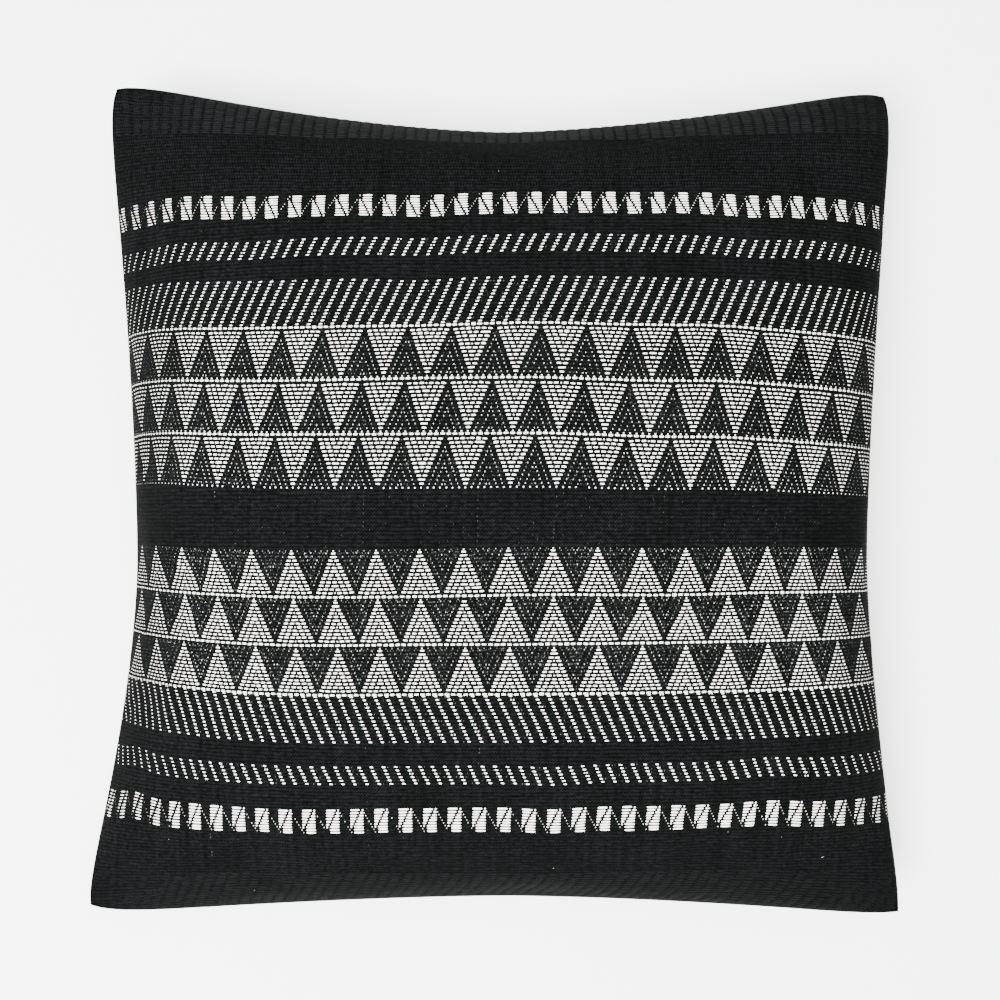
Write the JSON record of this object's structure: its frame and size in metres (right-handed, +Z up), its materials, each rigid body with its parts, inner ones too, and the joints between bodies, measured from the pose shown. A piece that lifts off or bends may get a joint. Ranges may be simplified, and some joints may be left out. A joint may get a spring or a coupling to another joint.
{
  "type": "square scatter cushion",
  "caption": "Filled square scatter cushion in a hand-woven black cotton cover with off-white woven bands, lying on its back.",
  "frame": {"origin": "centre of the cushion's bounding box on the surface that it lies on", "axes": "+Z up through the woven face, +Y toward the top edge of the face's design, +X to its right"},
  "size_m": [0.4894, 0.5026, 0.134],
  "materials": {
    "woven_cotton": "matt black plain-woven cotton with raised off-white cotton floats in bands of triangles, slanting dashes and small blocks"
  },
  "bodies": {
    "root": {"cushion": "woven_cotton"}
  },
  "joints": []
}
